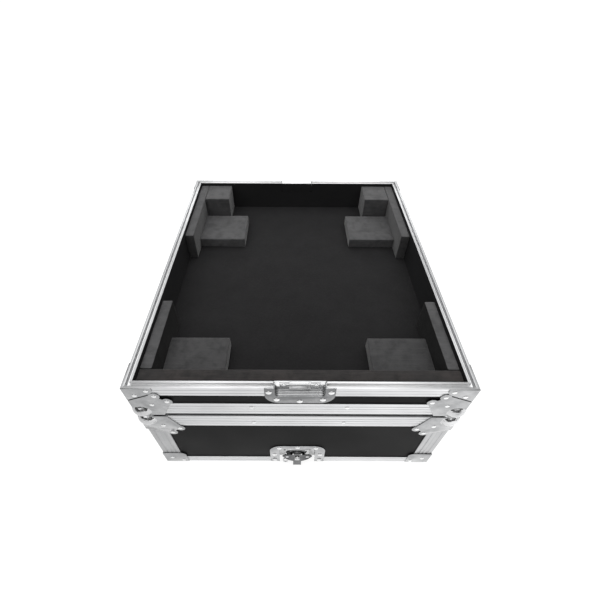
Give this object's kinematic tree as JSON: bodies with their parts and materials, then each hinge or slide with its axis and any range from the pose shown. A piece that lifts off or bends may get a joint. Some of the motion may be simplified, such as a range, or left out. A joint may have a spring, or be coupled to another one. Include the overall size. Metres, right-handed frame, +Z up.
{
  "type": "mixer flight case",
  "caption": "Foam-lined flight case tray standing on its lift-off lid, with aluminium edging, ball corners, butterfly latches and spring handles.",
  "frame": {"origin": "centre of the plane the lid's rim stands on", "axes": "+Z up, -Y towards the front latch, +X to the right seen from the front"},
  "size_m": [0.4746, 0.5526, 0.258],
  "materials": {
    "aluminium": "satin extruded",
    "laminate": "black laminate on plywood, fine grain",
    "plated_steel": "bright zinc plate",
    "bright_steel": "nickel plate",
    "rivet_steel": "bright",
    "felt": "black felt",
    "foam": "closed-cell foam",
    "grip_rubber": "matte"
  },
  "bodies": {
    "lid": {"lid_front_rim": "aluminium", "lid_rear_rim": "aluminium", "lid_left_rim": "aluminium", "lid_right_rim": "aluminium", "lid_top_edging": "aluminium", "lid_corner_edging": "aluminium", "lid_front_panel": "laminate", "lid_rear_panel": "laminate", "lid_left_panel": "laminate", "lid_right_panel": "laminate", "lid_top_panel": "laminate", "lid_ball_corners": "plated_steel", "lid_corner_braces": "plated_steel", "handle_dish_left": "plated_steel", "handle_dish_right": "plated_steel", "handle_saddles": "plated_steel", "latch_dish_front": "plated_steel", "latch_dish_rear": "plated_steel", "latch_hinge_pins": "bright_steel", "lid_rivets": "rivet_steel", "lid_lining": "felt", "lid_foam_blocks": "foam"},
    "tray": {"tray_front_rim": "aluminium", "tray_rear_rim": "aluminium", "tray_left_rim": "aluminium", "tray_right_rim": "aluminium", "tray_bottom_edging": "aluminium", "tray_corner_edging": "aluminium", "tray_front_panel": "laminate", "tray_rear_panel": "laminate", "tray_left_panel": "laminate", "tray_right_panel": "laminate", "tray_floor_panel": "laminate", "tray_ball_corners": "plated_steel", "tray_corner_braces": "plated_steel", "keeper_dish_front": "plated_steel", "keeper_dish_rear": "plated_steel", "keeper_strike_front": "bright_steel", "keeper_strike_rear": "bright_steel", "tray_rivets": "rivet_steel", "tray_floor_lining": "felt", "tray_wall_lining": "felt", "front_foam_strip": "foam", "front_side_foam": "foam", "rear_side_foam": "foam", "rear_foam_blocks": "foam", "front_foam_pads": "foam", "rear_foam_pads": "foam"},
    "handle_left": {"handle_bail_left": "plated_steel", "handle_grip_left": "grip_rubber"},
    "handle_right": {"handle_bail_right": "plated_steel", "handle_grip_right": "grip_rubber"},
    "latch_plate_front": {"latch_plate_front": "bright_steel"},
    "latch_plate_rear": {"latch_plate_rear": "bright_steel"},
    "latch_claw_front": {"latch_claw_front": "bright_steel"},
    "latch_claw_rear": {"latch_claw_rear": "bright_steel"},
    "latch_rotor_front": {"latch_rotor_front": "bright_steel"},
    "latch_rotor_rear": {"latch_rotor_rear": "bright_steel"},
    "latch_wing_front": {"latch_wing_front": "bright_steel"},
    "latch_wing_rear": {"latch_wing_rear": "bright_steel"}
  },
  "joints": [
    {"name": "tray_lift", "type": "slide", "parent": "lid", "child": "tray", "axis": [0, 0, 1], "range_m": [0, 0.12]},
    {"name": "latch_swing_front", "type": "hinge", "parent": "lid", "child": "latch_plate_front", "pos_m": [0, -0.2613, 0.0405], "axis": [-1, 0, 0], "range_deg": [-17, 73]},
    {"name": "latch_twist_front", "type": "hinge", "parent": "latch_plate_front", "child": "latch_rotor_front", "pos_m": [0, -0.26966, 0.02685], "axis": [0, -0.9563, 0.2924], "range_deg": [0, 180]},
    {"name": "claw_slide_front", "type": "slide", "parent": "latch_plate_front", "child": "latch_claw_front", "axis": [0, -0.2924, -0.9563], "range_m": [0, 0.00601]},
    {"name": "wing_fold_front", "type": "hinge", "parent": "latch_rotor_front", "child": "latch_wing_front", "pos_m": [0, -0.26756, 0.03489], "axis": [-1, 0, 0], "range_deg": [0, 90]},
    {"name": "latch_swing_rear", "type": "hinge", "parent": "lid", "child": "latch_plate_rear", "pos_m": [0, 0.2613, 0.0405], "axis": [1, 0, 0], "range_deg": [-17, 73]},
    {"name": "latch_twist_rear", "type": "hinge", "parent": "latch_plate_rear", "child": "latch_rotor_rear", "pos_m": [0, 0.26966, 0.02685], "axis": [0, 0.9563, 0.2924], "range_deg": [0, 180]},
    {"name": "claw_slide_rear", "type": "slide", "parent": "latch_plate_rear", "child": "latch_claw_rear", "axis": [0, 0.2924, -0.9563], "range_m": [0, 0.00601]},
    {"name": "wing_fold_rear", "type": "hinge", "parent": "latch_rotor_rear", "child": "latch_wing_rear", "pos_m": [0, 0.26756, 0.03489], "axis": [1, 0, 0], "range_deg": [0, 90]},
    {"name": "handle_swing_left", "type": "hinge", "parent": "lid", "child": "handle_left", "pos_m": [-0.2205, 0, 0.107], "axis": [0, 1, 0], "range_deg": [0, 90], "stiffness_Nm_per_rad": 0.2, "springref_deg": -20.05},
    {"name": "handle_swing_right", "type": "hinge", "parent": "lid", "child": "handle_right", "pos_m": [0.2205, 0, 0.107], "axis": [0, -1, 0], "range_deg": [0, 90], "stiffness_Nm_per_rad": 0.2, "springref_deg": -20.05}
  ],
  "couplings": [
    {"joint": "claw_slide_front", "follows": "latch_twist_front", "m_per_rad": 0.0019099},
    {"joint": "claw_slide_rear", "follows": "latch_twist_rear", "m_per_rad": 0.0019099}
  ]
}
